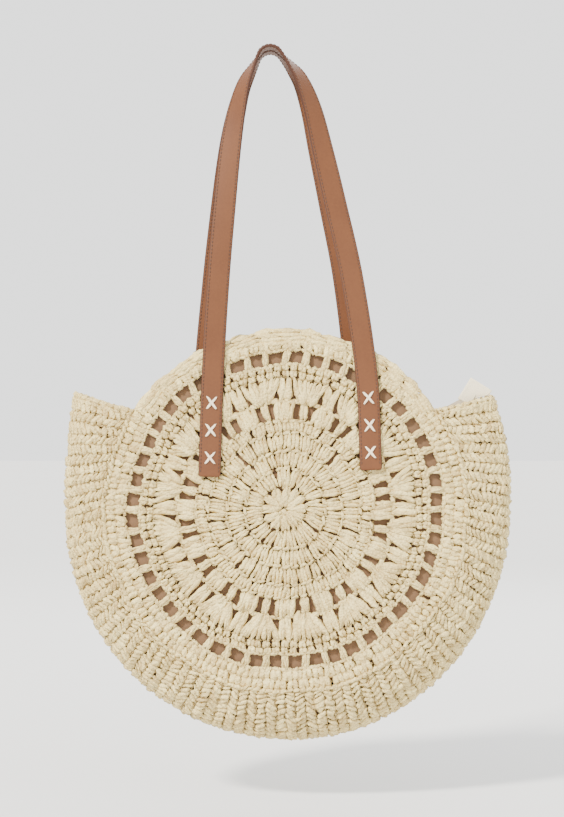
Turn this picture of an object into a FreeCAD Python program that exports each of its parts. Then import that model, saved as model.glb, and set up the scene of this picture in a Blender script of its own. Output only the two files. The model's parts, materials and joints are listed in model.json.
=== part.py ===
import FreeCAD, Part
import math
import os

# Round crocheted beach bag, hanging by its two handles from a peg.
# Millimetres. The origin is the axis of the peg, +Z is up, the front of the bag faces -Y and the
# peg runs along Y. The front half is drawn once and the back half is its mirror image.

# Bag body
DISC_X = 14.0              # the bag's centre line hangs to the right of the peg
DISC_Z = -409.0            # height of the panels' centre
PANEL_R = 161.5            # round front and back panels
PANEL_T = 5.0
CROWN = 8.0                # how far the panel bulges at its centre
HALF_DEPTH = 30.0          # from the middle plane to a panel at the bottom of the bag
LEAN = 3.0                 # degrees each panel leans in, so that the mouth is narrow
WINDOWS = 48               # square holes in the open-work round
WINDOW_IN = 130.5
WINDOW_OUT = 144.0
POST_W = 5.3               # crocheted post between two windows

# Side gusset, one strip that folds outwards along its middle
GUSSET_IN = 163.2
GUSSET_OUT = 207.0
GUSSET_T = 4.0
GUSSET_END_X = 149.0       # where the strip ends at the mouth, from the centre line
GUSSET_END_Z = -315.0
GUSSET_END_SLOPE = 11.0    # degrees
HEM_W = 5.0
HEM_EXTRA = 0.5
CROSSING = 0.2             # radians the folded strip is drawn past its fold before it is trimmed

# Seams, edging and lining
SEAM_R = 162.4
SEAM_WIRE = 1.8
SEAM_LIFT = 2.1
EDGING_IN = 161.8
EDGING_OUT = 164.4
EDGING_HALF = 3.5
MOUTH_HALF_DEG = 54.0
SEAM_START_DEG = 58.5
LINING_T = 0.8
LINING_GAP = 0.4
LINING_R = 160.0

# Zip, curved round the mouth
ZIP_R = 156.0
TAPE_T = 0.8
TAPE_HALF_DEG = 57.0
CHAIN_IN = 155.4
CHAIN_OUT = 157.4
CHAIN_NEAR = 0.7
CHAIN_FAR = 2.9
CHAIN_HALF_DEG = 54.6
STOP_DEG = 0.9
SLIDER_DEG = -51.0         # slider's place when the zip is closed
SLIDER_SWEEP = 3.4
SLIDER_PLATE = 1.2
SLIDER_CLEAR = 0.8
SLIDER_HALF_W = 3.4
NECK_HALF = 0.4
NECK_SWEEP = 1.2
BRIDGE_L = 4.0
BRIDGE_W = 2.0
BRIDGE_H = 3.6
BRIDGE_HOLE_R = 0.9
PULL_PIN_R = 0.65
PULL_L = 24.0
PULL_NOSE = 1.2            # how far the pull reaches past its pivot
PULL_W = 7.0
PULL_T = 1.4
PULL_SLOT_W = 3.0
PULL_SLOT_L = 3.6

# Handles
STRAP_W = 20.0
STRAP_T = 2.5
PEG_R = 10.0
PEG_SIDE = 12.0            # from the middle plane to a strap's centre on the peg
HINGE_Z = -290.0           # where a strap bends freely above its sewn end
HINGE_Y = 22.2             # a strap's centre there, from the middle plane
END_Y = 31.5               # a strap's centre at the bottom of its sewn end
FLEX_GAP = 0.3
BACK_SHIFT = -9.0          # the back handle is sewn on further to the left
THREAD_R = 0.9
CROSS_HALF_W = 4.2
CROSS_HALF_H = 5.3
CROSS_DEPTH = 7.6

BIG = 400.0
X_AXIS = FreeCAD.Vector(1, 0, 0)
Y_AXIS = FreeCAD.Vector(0, 1, 0)
CENTRE = FreeCAD.Vector(DISC_X, 0, DISC_Z)
FOOT = FreeCAD.Vector(0, -HALF_DEPTH, DISC_Z - PANEL_R)


def save(name, shape):
    """Write one node."""
    shape.exportStep("parts/" + name + ".step")


def at(radius, y):
    """A point straight above the panels' centre, by its distance from the centre and its depth."""
    return FreeCAD.Vector(DISC_X, y, DISC_Z + radius)


def turned(face, start, sweep):
    """Turn a face drawn above the centre into a ring piece; angles run clockwise from the top."""
    placed = face.copy()
    placed.rotate(CENTRE, Y_AXIS, start)
    return placed.revolve(CENTRE, Y_AXIS, sweep)


def outline(points):
    """A flat face through points, closed."""
    return Part.Face(Part.makePolygon(points + [points[0]]))


def ring(inner, outer, near, far, start, sweep):
    """A ring piece of rectangular section."""
    corners = [at(inner, near), at(outer, near), at(outer, far), at(inner, far)]
    return turned(outline(corners), start, sweep)


def leaned(shape):
    """Lean a front shape back about the panel's foot."""
    out = shape.copy()
    out.rotate(FOOT, X_AXIS, -LEAN)
    return out


def to_back(shape):
    """Mirror a front shape to the back."""
    return shape.mirror(FreeCAD.Vector(0, 0, 0), Y_AXIS)


def dome_y(radius, forward):
    """Depth of the domed panel's mid surface, moved forward by a distance."""
    return -HALF_DEPTH - CROWN * (1.0 - (radius / PANEL_R) ** 2) - forward


def dome(radius, front, back):
    """A domed disc between two offsets from the panel's mid surface."""
    half = radius / 2.0
    outer = Part.Arc(at(0, dome_y(0, front)), at(half, dome_y(half, front)),
                     at(radius, dome_y(radius, front)))
    inner = Part.Arc(at(radius, dome_y(radius, back)), at(half, dome_y(half, back)),
                     at(0, dome_y(0, back)))
    rim = Part.LineSegment(at(radius, dome_y(radius, front)), at(radius, dome_y(radius, back)))
    axis = Part.LineSegment(at(0, dome_y(0, back)), at(0, dome_y(0, front)))
    wire = Part.Wire([edge.toShape() for edge in (outer, rim, inner, axis)])
    half_turn = turned(Part.Face(wire), 0, 180)
    other = half_turn.copy()
    other.rotate(CENTRE, Y_AXIS, 180)
    return half_turn.fuse(other)


def panel():
    """The front panel with its round of square windows."""
    pitch = 360.0 / WINDOWS
    post = math.degrees(POST_W / ((WINDOW_IN + WINDOW_OUT) / 2.0))
    depth = HALF_DEPTH + CROWN + PANEL_T
    cutters = [ring(WINDOW_IN, WINDOW_OUT, -depth, 0, k * pitch + post / 2.0, pitch - post)
               for k in range(WINDOWS)]
    body = dome(PANEL_R, PANEL_T / 2.0, -PANEL_T / 2.0)
    return leaned(body.cut(cutters))


def panel_lining():
    """Cloth just behind the front panel."""
    near = -PANEL_T / 2.0 - LINING_GAP
    return leaned(dome(LINING_R, near, near - LINING_T))


def fold_edge(offset):
    """Quarter ellipse across the gusset from a panel to the fold, moved outwards by a distance."""
    corner = at(GUSSET_IN, 0)
    tip = at(GUSSET_OUT + offset, 0)
    side = at(GUSSET_IN, HALF_DEPTH + offset)
    ends = (-math.pi / 2.0, CROSSING)
    arc = Part.ArcOfEllipse(Part.Ellipse(tip, side, corner), *ends)
    return arc.toShape(), [arc.value(end) for end in ends]


def fold_strip(offset, thickness):
    """The whole gusset strip, or a layer of it, front and back halves joined at the fold."""
    outer, outer_ends = fold_edge(offset + thickness / 2.0)
    inner, inner_ends = fold_edge(offset - thickness / 2.0)
    fold = Part.LineSegment(outer_ends[1], inner_ends[1]).toShape()
    lip = Part.LineSegment(inner_ends[0], outer_ends[0]).toShape()
    wire = Part.Wire([outer, fold, inner, lip])
    whole = leaned(turned(Part.Face(wire), 48, 264))
    behind = Part.makeBox(2 * BIG, BIG, 3 * BIG, FreeCAD.Vector(-BIG, 0, -2.5 * BIG))
    front = whole.cut(behind)
    return front.fuse(to_back(front)).removeSplitter()


def mouth_space(drop):
    """The space above the gusset's two ends, lowered by a distance."""
    slope = math.tan(math.radians(GUSSET_END_SLOPE))
    near = 130.0

    def level(distance):
        return GUSSET_END_Z + (distance - GUSSET_END_X) * slope - drop

    points = [FreeCAD.Vector(DISC_X - BIG, -BIG, level(BIG)),
              FreeCAD.Vector(DISC_X - near, -BIG, level(near)),
              FreeCAD.Vector(DISC_X + near, -BIG, level(near)),
              FreeCAD.Vector(DISC_X + BIG, -BIG, level(BIG)),
              FreeCAD.Vector(DISC_X + BIG, -BIG, BIG),
              FreeCAD.Vector(DISC_X - BIG, -BIG, BIG)]
    return outline(points).extrude(FreeCAD.Vector(0, 2 * BIG, 0))


def gusset():
    """The crocheted strip that joins the two panels."""
    return fold_strip(0, GUSSET_T).cut(mouth_space(HEM_W))


def gusset_hems():
    """The hem across each end of the strip, left then right."""
    both = fold_strip(0, GUSSET_T + 2 * HEM_EXTRA).common(mouth_space(HEM_W)).cut(mouth_space(0))
    return sorted(both.Solids, key=lambda solid: solid.CenterOfMass.x)


def side_lining():
    """Cloth just inside the gusset."""
    offset = -GUSSET_T / 2.0 - LINING_GAP - LINING_T / 2.0
    return fold_strip(offset, LINING_T).cut(mouth_space(HEM_W + 1.0))


def seam():
    """Raised seam between the front panel and the gusset, from one end of the gusset to the other."""
    y = -HALF_DEPTH - PANEL_T / 2.0 - SEAM_LIFT
    section = Part.Face(Part.Wire(Part.makeCircle(SEAM_WIRE, at(SEAM_R, y), X_AXIS)))
    return leaned(turned(section, SEAM_START_DEG, 360.0 - 2 * SEAM_START_DEG))


def mouth_edging():
    """Smooth edging over the panel's free rim at the mouth."""
    near = -HALF_DEPTH - EDGING_HALF
    far = -HALF_DEPTH + EDGING_HALF
    return leaned(ring(EDGING_IN, EDGING_OUT, near, far, -MOUTH_HALF_DEG, 2 * MOUTH_HALF_DEG))


def zip_tape():
    """Front zip tape, from the lining to the chain."""
    band = ring(ZIP_R, ZIP_R + TAPE_T, -BIG / 4.0, -CHAIN_FAR, -TAPE_HALF_DEG, 2 * TAPE_HALF_DEG)
    inner_face = HALF_DEPTH - PANEL_T / 2.0 - LINING_GAP - LINING_T - LINING_GAP
    before = ring(ZIP_R - BIG / 8.0, ZIP_R + BIG / 8.0, -BIG, -inner_face, 0, 360)
    return band.cut(leaned(before))


def zip_chain():
    """Front half of the zip's teeth, as one plain bead."""
    return ring(CHAIN_IN, CHAIN_OUT, -CHAIN_FAR, -CHAIN_NEAR, -CHAIN_HALF_DEG, 2 * CHAIN_HALF_DEG)


def zip_stops():
    """A stop past each end of the front chain."""
    left = ring(CHAIN_IN - 0.5, CHAIN_OUT + 0.5, -CHAIN_FAR, -CHAIN_NEAR,
                -CHAIN_HALF_DEG - STOP_DEG - 0.1, STOP_DEG)
    right = ring(CHAIN_IN - 0.5, CHAIN_OUT + 0.5, -CHAIN_FAR, -CHAIN_NEAR,
                 CHAIN_HALF_DEG + 0.1, STOP_DEG)
    return Part.makeCompound([left, right])


def bridge_radius():
    """Distance of the pull's pivot from the panels' centre."""
    return CHAIN_OUT + SLIDER_CLEAR + SLIDER_PLATE + BRIDGE_H - 2 * BRIDGE_HOLE_R


def slider_body():
    """Slider: two plates about the chain, joined between its halves, with a bridge for the pull."""
    start = SLIDER_DEG - SLIDER_SWEEP / 2.0
    top_in = CHAIN_OUT + SLIDER_CLEAR
    low_out = CHAIN_IN - SLIDER_CLEAR
    top = ring(top_in, top_in + SLIDER_PLATE, -SLIDER_HALF_W, SLIDER_HALF_W, start, SLIDER_SWEEP)
    low = ring(low_out - SLIDER_PLATE, low_out, -SLIDER_HALF_W, SLIDER_HALF_W, start, SLIDER_SWEEP)
    neck = ring(low_out - 0.1, top_in + 0.1, -NECK_HALF, NECK_HALF,
                SLIDER_DEG - NECK_SWEEP / 2.0, NECK_SWEEP)
    base = top_in + SLIDER_PLATE - 0.2
    bridge = Part.makeBox(BRIDGE_L, BRIDGE_W, BRIDGE_H + 0.2,
                          FreeCAD.Vector(DISC_X - BRIDGE_L / 2.0, -BRIDGE_W / 2.0, DISC_Z + base))
    hole = Part.makeCylinder(BRIDGE_HOLE_R, 2 * BRIDGE_W,
                             FreeCAD.Vector(DISC_X, -BRIDGE_W, DISC_Z + bridge_radius()), Y_AXIS)
    bridge = bridge.cut(hole)
    bridge.rotate(CENTRE, Y_AXIS, SLIDER_DEG)
    return top.fuse([low, neck, bridge]).removeSplitter()


def pull_tab():
    """Pull: a plate with a slot over the bridge and a pin through it, lying along the chain."""
    z = DISC_Z + bridge_radius()
    plate = Part.makeBox(PULL_L, PULL_W, PULL_T,
                         FreeCAD.Vector(DISC_X - PULL_L + PULL_NOSE, -PULL_W / 2.0, z - PULL_T / 2.0))
    slot = Part.makeBox(PULL_SLOT_L * 2, PULL_SLOT_W, 3 * PULL_T,
                        FreeCAD.Vector(DISC_X - PULL_SLOT_L, -PULL_SLOT_W / 2.0, z - 1.5 * PULL_T))
    pin = Part.makeCylinder(PULL_PIN_R, PULL_SLOT_W + 1.0,
                            FreeCAD.Vector(DISC_X, -PULL_SLOT_W / 2.0 - 0.5, z), Y_AXIS)
    pull = plate.cut(slot).fuse(pin)
    pull.rotate(CENTRE, Y_AXIS, SLIDER_DEG)
    return pull


def zip_tail():
    """Tape past the right end of the zip, up to the end tab."""
    corners = [FreeCAD.Vector(148.5, -0.4, -322.5), FreeCAD.Vector(154.0, -0.4, -333.0),
               FreeCAD.Vector(181.0, -0.4, -315.5), FreeCAD.Vector(175.5, -0.4, -308.0)]
    return outline(corners).extrude(FreeCAD.Vector(0, 0.8, 0))


def end_tab():
    """Cloth tab folded over the end of the zip's tail, with the tail's pocket cut out."""
    corners = [FreeCAD.Vector(183.6, -1.2, -289.0), FreeCAD.Vector(203.0, -1.2, -301.0),
               FreeCAD.Vector(200.5, -1.2, -305.0), FreeCAD.Vector(186.0, -1.2, -308.9),
               FreeCAD.Vector(184.0, -1.2, -316.0), FreeCAD.Vector(171.6, -1.2, -308.4)]
    return outline(corners).extrude(FreeCAD.Vector(0, 2.4, 0)).cut(zip_tail())


def strap_section(centre, along, outward):
    """Corners of a rectangle across a strap, square to its run; outward is where its face looks."""
    side = along.cross(outward)
    side.normalize()
    corners = []
    for across, through in ((-1, -1), (1, -1), (1, 1), (-1, 1)):
        step = side * (across * STRAP_W / 2.0) + outward * (through * STRAP_T / 2.0)
        corners.append(centre + step)
    return corners


def strap_solid(sections):
    """A closed solid of flat triangles between sections in order."""
    faces = [outline(sections[0]), outline(sections[-1])]
    for here, beyond in zip(sections, sections[1:]):
        for k in range(4):
            after = (k + 1) % 4
            faces.append(outline([here[k], here[after], beyond[after]]))
            faces.append(outline([here[k], beyond[after], beyond[k]]))
    return Part.Solid(Part.Shell(faces))


def strap_frame(stations, k, sign):
    """Centre, run and face direction of a leg at one of its stations."""
    x, y, z, twist = stations[k]
    before = stations[max(k - 1, 0)]
    after = stations[min(k + 1, len(stations) - 1)]
    along = FreeCAD.Vector(after[0] - before[0], 0, after[2] - before[2])
    if k == 0:
        along = FreeCAD.Vector(z * sign, 0, -x * sign)
    if k == len(stations) - 1:
        along = FreeCAD.Vector(0, 0, -1)
    along.normalize()
    beside = FreeCAD.Vector(-along.z * sign, 0, along.x * sign)
    turn = math.radians(twist)
    outward = beside * math.cos(turn) - Y_AXIS * math.sin(turn)
    return FreeCAD.Vector(x, y, z), along, outward


def strap_leg(stations, sign):
    """One leg of a handle through stations of x, y, z and twist; sign is -1 left, +1 right."""
    return strap_solid([strap_section(*strap_frame(stations, k, sign))
                        for k in range(len(stations))])


def peg_point(angle):
    """Centre of the strap on the peg, by the angle from the top; positive is to the right."""
    turn = math.radians(angle)
    middle = PEG_R + STRAP_T / 2.0
    return middle * math.sin(turn), middle * math.cos(turn)


LEFT_WRAP = 65.0           # degrees of the peg that the strap covers on each side
RIGHT_WRAP = 50.0


def handle_loop(shift):
    """Front handle above its flex line: the wrap over the peg and two twisting legs."""
    first = -PEG_SIDE

    def depth(z):
        return first + (HINGE_Y - PEG_SIDE) * z / -HINGE_Z

    left_x, left_z = peg_point(-LEFT_WRAP)
    right_x, right_z = peg_point(RIGHT_WRAP)
    slant = shift / HINGE_Z
    left = [(left_x, first, left_z, 0)]
    for x, z, twist in ((-16.3, -6, 14), (-24.2, -22, 34), (-30.2, -46, 53), (-35.5, -79, 69),
                        (-40.7, -130, 82), (-46.6, -200, 90), (-51.9, HINGE_Z + FLEX_GAP, 90)):
        left.append((x + slant * z, depth(z), z, twist))
    right = [(right_x, first, right_z, 0)]
    for x, z, twist in ((18.6, -4, 14), (28.6, -18, 34), (38.4, -44, 53), (47.0, -79, 69),
                        (59.0, -130, 82), (74.5, -200, 90), (87.5, HINGE_Z + FLEX_GAP, 90)):
        right.append((x + slant * z, depth(z), z, twist))
    corners = [FreeCAD.Vector(0, first - STRAP_W / 2.0, PEG_R),
               FreeCAD.Vector(0, first + STRAP_W / 2.0, PEG_R),
               FreeCAD.Vector(0, first + STRAP_W / 2.0, PEG_R + STRAP_T),
               FreeCAD.Vector(0, first - STRAP_W / 2.0, PEG_R + STRAP_T)]
    wrap = outline(corners)
    wrap.rotate(FreeCAD.Vector(0, 0, 0), Y_AXIS, -LEFT_WRAP)
    wrap = wrap.revolve(FreeCAD.Vector(0, 0, 0), Y_AXIS, LEFT_WRAP + RIGHT_WRAP)
    return wrap.fuse([strap_leg(left, -1), strap_leg(right, 1)])


def strap_end(top_x, bottom_x, bottom_z):
    """Sewn end of a front strap, lying on the panel below the flex line."""
    top = FreeCAD.Vector(top_x, -HINGE_Y, HINGE_Z - FLEX_GAP)
    bottom = FreeCAD.Vector(bottom_x, -END_Y, bottom_z)
    along = bottom - top
    along.x = 0
    along.normalize()
    outward = FreeCAD.Vector(0, along.z, -along.y)
    return strap_solid([strap_section(top, along, outward), strap_section(bottom, along, outward)])


def bar(start, end, radius):
    """A round bar between two points."""
    run = end - start
    return Part.makeCylinder(radius, run.Length, start, run)


def crosses(top_x, bottom_x, bottom_z, heights):
    """Crossed thread stitches over a sewn end, each with four tails down into the panel."""
    top = FreeCAD.Vector(top_x, -HINGE_Y, HINGE_Z)
    along = FreeCAD.Vector(bottom_x, -END_Y, bottom_z) - top
    outward = FreeCAD.Vector(0, along.z, -along.y)
    outward.normalize()
    side = FreeCAD.Vector(1, 0, 0)
    down = along * (1.0 / along.Length)
    group = []
    for z in heights:
        share = (z - HINGE_Z) / (bottom_z - HINGE_Z)
        middle = top + along * share + outward * (STRAP_T / 2.0 + THREAD_R)
        strands = []
        for slope in (-1, 1):
            arm = side * CROSS_HALF_W + down * (CROSS_HALF_H * slope)
            strands.append(bar(middle - arm, middle + arm, THREAD_R))
            for tip in (middle - arm, middle + arm):
                strands.append(Part.makeSphere(THREAD_R, tip))
                strands.append(bar(tip, tip - outward * CROSS_DEPTH, THREAD_R * 0.8))
        group.append(strands[0].fuse(strands[1:]).removeSplitter())
    return Part.makeCompound(group)


LEFT_END = (-51.9, -54.5, -379.0)
RIGHT_END = (87.5, 90.9, -373.0)
LEFT_CROSSES = (-312.6, -337.3, -362.1)
RIGHT_CROSSES = (-308.1, -332.9, -357.2)


def shifted(end, shift):
    """A sewn end moved sideways."""
    return end[0] + shift, end[1] + shift, end[2]


def build():
    """Write every node."""
    os.makedirs("parts", exist_ok=True)
    front_pair = {"panel": panel(), "seam": seam(), "mouth_edging": mouth_edging(),
                  "lining": panel_lining(), "zip_tape": zip_tape(), "zip_chain": zip_chain(),
                  "zip_stops": zip_stops()}
    for name, shape in front_pair.items():
        save("front_" + name, shape)
        save("back_" + name, to_back(shape))
    save("side_gusset", gusset())
    left_hem, right_hem = gusset_hems()
    save("left_gusset_hem", left_hem)
    save("right_gusset_hem", right_hem)
    save("side_lining", side_lining())
    save("zip_slider_body", slider_body())
    save("zip_pull_tab", pull_tab())
    save("zip_tail", zip_tail())
    save("zip_end_tab", end_tab())
    save("front_handle_strap", handle_loop(0.0))
    save("back_handle_strap", to_back(handle_loop(BACK_SHIFT)))
    for side, end, heights in (("left", LEFT_END, LEFT_CROSSES), ("right", RIGHT_END, RIGHT_CROSSES)):
        save("front_" + side + "_strap_end", strap_end(*end))
        save("front_" + side + "_cross_stitches", crosses(*end, heights))
        moved = shifted(end, BACK_SHIFT)
        save("back_" + side + "_strap_end", to_back(strap_end(*moved)))
        save("back_" + side + "_cross_stitches", to_back(crosses(*moved, heights)))


build()
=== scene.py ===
import json
import math

import bmesh
import bpy
import numpy as np
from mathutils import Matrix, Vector

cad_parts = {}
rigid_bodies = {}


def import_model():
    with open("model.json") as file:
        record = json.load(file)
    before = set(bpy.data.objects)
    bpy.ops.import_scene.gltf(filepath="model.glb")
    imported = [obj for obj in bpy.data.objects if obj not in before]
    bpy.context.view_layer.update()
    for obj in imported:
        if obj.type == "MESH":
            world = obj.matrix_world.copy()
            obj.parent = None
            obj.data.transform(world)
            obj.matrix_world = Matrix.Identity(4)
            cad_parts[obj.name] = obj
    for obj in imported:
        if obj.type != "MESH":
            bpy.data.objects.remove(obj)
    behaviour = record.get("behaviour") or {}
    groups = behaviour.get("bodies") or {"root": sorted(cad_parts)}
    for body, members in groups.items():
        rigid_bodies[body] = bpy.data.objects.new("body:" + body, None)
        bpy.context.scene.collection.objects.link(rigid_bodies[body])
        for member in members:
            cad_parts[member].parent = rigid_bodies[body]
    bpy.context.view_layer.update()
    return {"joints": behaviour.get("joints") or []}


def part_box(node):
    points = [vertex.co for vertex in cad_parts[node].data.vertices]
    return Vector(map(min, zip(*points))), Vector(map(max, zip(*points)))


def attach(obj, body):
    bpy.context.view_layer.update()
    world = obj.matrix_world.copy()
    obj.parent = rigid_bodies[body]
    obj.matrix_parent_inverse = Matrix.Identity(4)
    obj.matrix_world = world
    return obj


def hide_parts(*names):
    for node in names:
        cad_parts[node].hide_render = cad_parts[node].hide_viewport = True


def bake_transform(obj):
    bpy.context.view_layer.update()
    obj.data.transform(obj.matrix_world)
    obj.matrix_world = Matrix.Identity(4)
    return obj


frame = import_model()

bl_info = {
    "name": "Crocheted beach bag",
    "version": (1, 0, 0),
    "blender": (4, 5, 0),
    "location": "3D View > Sidebar > Beach bag",
    "description": "Builds the looks of a round crocheted straw bag round its packed frame",
    "category": "Object",
}

MM = 0.001
JOINTS = {joint["name"]: joint for joint in frame["joints"]}
DISC_X, _, DISC_Z = JOINTS["zip_travel"]["pos_m"]
HINGE_Z = JOINTS["front_handle_fall"]["pos_m"][2]
PANEL_LOW, PANEL_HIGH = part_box("front_panel")
PANEL_R = (PANEL_HIGH.x - PANEL_LOW.x) / 2.0
LEAN = math.radians(3.0)


# ---------------------------------------------------------------- sizes and colours a user may change

class BagSizes(bpy.types.PropertyGroup):
    """Sizes of the crochet and the straps."""
    half_depth: bpy.props.FloatProperty(
        name="Half depth", description="Middle of the bag to a panel, at the bottom",
        default=30 * MM, unit="LENGTH")
    crown: bpy.props.FloatProperty(
        name="Crown", description="How far a panel bulges at its centre", default=8 * MM, unit="LENGTH")
    straw: bpy.props.FloatProperty(
        name="Straw height", description="Thickness of one stitch", default=4.6 * MM, unit="LENGTH")
    crinkle: bpy.props.FloatProperty(
        name="Crinkle", description="How far creases dent a strand", default=1.0 * MM, unit="LENGTH")
    strap_width: bpy.props.FloatProperty(
        name="Strap width", description="Width of the leather straps", default=20 * MM, unit="LENGTH")
    strap_thickness: bpy.props.FloatProperty(
        name="Strap thickness", description="Thickness of the leather straps",
        default=2.5 * MM, unit="LENGTH")
    windows: bpy.props.IntProperty(
        name="Windows", description="Square windows in the open-work round", default=48)
    repeats: bpy.props.IntProperty(
        name="Lace repeats", description="Fans in the lace round", default=16)
    gusset_rows: bpy.props.IntProperty(
        name="Gusset rows", description="Rows of stitches along the gusset", default=86)
    gusset_stitches: bpy.props.IntProperty(
        name="Gusset stitches", description="Stitches across the gusset", default=26)


class BagColours(bpy.types.PropertyGroup):
    """Base colours, linear."""
    straw: bpy.props.FloatVectorProperty(
        name="Straw", description="Paper straw", subtype="COLOR", default=(0.95, 0.79, 0.37))
    # straw_shade is partly painted shade, mixed in at creases and on the recessed low strands, and partly the
    # dark end of the straw's random tone.
    straw_shade: bpy.props.FloatVectorProperty(
        name="Straw folds", description="Paper straw in its folds", subtype="COLOR",
        default=(0.47, 0.325, 0.12))
    leather: bpy.props.FloatVectorProperty(
        name="Leather", description="Tan leather", subtype="COLOR", default=(0.140, 0.049, 0.016))
    leather_edge: bpy.props.FloatVectorProperty(
        name="Leather edge", description="Painted edge of the straps", subtype="COLOR",
        default=(0.050, 0.016, 0.007))
    thread: bpy.props.FloatVectorProperty(
        name="Thread", description="Crossed stitches", subtype="COLOR", default=(0.95, 0.80, 0.60))
    lining: bpy.props.FloatVectorProperty(
        name="Lining", description="Lining cloth", subtype="COLOR", default=(0.175, 0.094, 0.043))
    cloth: bpy.props.FloatVectorProperty(
        name="Tab cloth", description="Cloth of the tab", subtype="COLOR", default=(0.90, 0.80, 0.58))
    brass: bpy.props.FloatVectorProperty(
        name="Brass", description="Slider, pull and stops", subtype="COLOR", default=(0.62, 0.47, 0.25))


def sizes():
    """The size settings of this scene."""
    return bpy.context.scene.bag_sizes


def colours():
    """The colour settings of this scene."""
    return bpy.context.scene.bag_colours


# ---------------------------------------------------------------- node helpers

def node(tree, kind, place=(0, 0), **values):
    """A new node with some of its properties and named inputs set."""
    made = tree.nodes.new(kind)
    made.location = place
    for key, value in values.items():
        if hasattr(made, key):
            setattr(made, key, value)
        else:
            made.inputs[key.replace("_", " ")].default_value = value
    return made


def noise(tree, place, **values):
    """A Noise node on a place socket, as its factor socket."""
    made = node(tree, "ShaderNodeTexNoise", **values)
    tree.links.new(place, made.inputs["Vector"])
    return made.outputs[0]


def maths(tree, operation, first, second=None, clamp=False):
    """A Math node; inputs are sockets or numbers."""
    made = tree.nodes.new("ShaderNodeMath")
    made.operation = operation
    made.use_clamp = clamp
    for k, value in enumerate(item for item in (first, second) if item is not None):
        if isinstance(value, bpy.types.NodeSocket):
            tree.links.new(value, made.inputs[k])
        else:
            made.inputs[k].default_value = value
    return made.outputs[0]


def mix_colours(tree, factor, first, second, blend="MIX"):
    """A colour Mix node; colours are sockets or values."""
    made = tree.nodes.new("ShaderNodeMix")
    made.data_type = "RGBA"
    made.blend_type = blend
    for socket, value in ((made.inputs[0], factor), (made.inputs[6], first), (made.inputs[7], second)):
        if isinstance(value, bpy.types.NodeSocket):
            tree.links.new(value, socket)
        elif isinstance(value, (int, float)):
            socket.default_value = value
        else:
            socket.default_value = (*value, 1.0)
    return made.outputs[2]


def group(name, inputs, outputs):
    """An empty shader node group with named sockets; returns the tree and its two end nodes."""
    tree = bpy.data.node_groups.new(name, "ShaderNodeTree")
    for label, kind, default in inputs:
        socket = tree.interface.new_socket(label, in_out="INPUT", socket_type=kind)
        if default is not None:
            socket.default_value = default
    for label, kind in outputs:
        tree.interface.new_socket(label, in_out="OUTPUT", socket_type=kind)
    return tree, tree.nodes.new("NodeGroupInput"), tree.nodes.new("NodeGroupOutput")


def paper_fibres():
    """Twisted paper: fibres along a strand, blotches of tone and creases with painted shade in them, from a
    strand's own UV.
    """
    tree, given, out = group(
        "paper fibres",
        [("UV", "NodeSocketVector", None), ("Place", "NodeSocketVector", None),
         ("Tone", "NodeSocketFloat", 0.0), ("Light", "NodeSocketColor", (0.8, 0.7, 0.5, 1)),
         ("Shade", "NodeSocketColor", (0.5, 0.4, 0.25, 1))],
        [("Color", "NodeSocketColor"), ("Height", "NodeSocketFloat"), ("Roughness", "NodeSocketFloat")])
    links = tree.links
    stretch = node(tree, "ShaderNodeMapping")
    stretch.inputs["Scale"].default_value = (9.0, 2.2, 1.0)
    shear = tree.nodes.new("ShaderNodeVectorMath")
    shear.operation = "ADD"
    links.new(given.outputs["UV"], shear.inputs[0])
    links.new(given.outputs["Place"], shear.inputs[1])
    links.new(shear.outputs[0], stretch.inputs["Vector"])
    fibre = noise(tree, stretch.outputs[0], Scale=1.0, Detail=3.0, Roughness=0.62)
    blotch = noise(tree, given.outputs["Place"], Scale=170.0, Detail=2.0)
    hue = noise(tree, given.outputs["Place"], Scale=34.0, Detail=1.0)
    facets = node(tree, "ShaderNodeTexVoronoi", Scale=430.0)
    links.new(given.outputs["Place"], facets.inputs["Vector"])
    facet = maths(tree, "MULTIPLY", facets.outputs["Distance"], 0.9)
    crease = maths(tree, "ADD", maths(tree, "POWER", fibre, 2.2), facet)
    lightness = maths(tree, "ADD", maths(tree, "MULTIPLY", fibre, 0.75),
                      maths(tree, "MULTIPLY", blotch, 0.55))
    # Painted shade: the facets' crease lines, which the height also sinks, are darkened.
    lightness = maths(tree, "SUBTRACT", lightness, maths(tree, "MULTIPLY", facet, 0.22))
    # Tone is each strand's random paper tone; the negative tones given to recessed strands are painted shade.
    lightness = maths(tree, "ADD", lightness, given.outputs["Tone"])
    lightness = maths(tree, "MULTIPLY", maths(tree, "SUBTRACT", lightness, 0.12), 1.25, clamp=True)
    # Light is the paper's colour and Shade its painted shade, which is also the dark end of its random tone.
    colour = mix_colours(tree, lightness, given.outputs["Shade"], given.outputs["Light"])
    warm = mix_colours(tree, maths(tree, "MULTIPLY", hue, 0.55), colour,
                       (1.0, 0.93, 0.80), "MULTIPLY")
    links.new(warm, out.inputs["Color"])
    links.new(maths(tree, "SUBTRACT", 1.0, crease), out.inputs["Height"])
    links.new(maths(tree, "ADD", maths(tree, "MULTIPLY", fibre, 0.30), 0.40),
              out.inputs["Roughness"])
    return tree


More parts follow.
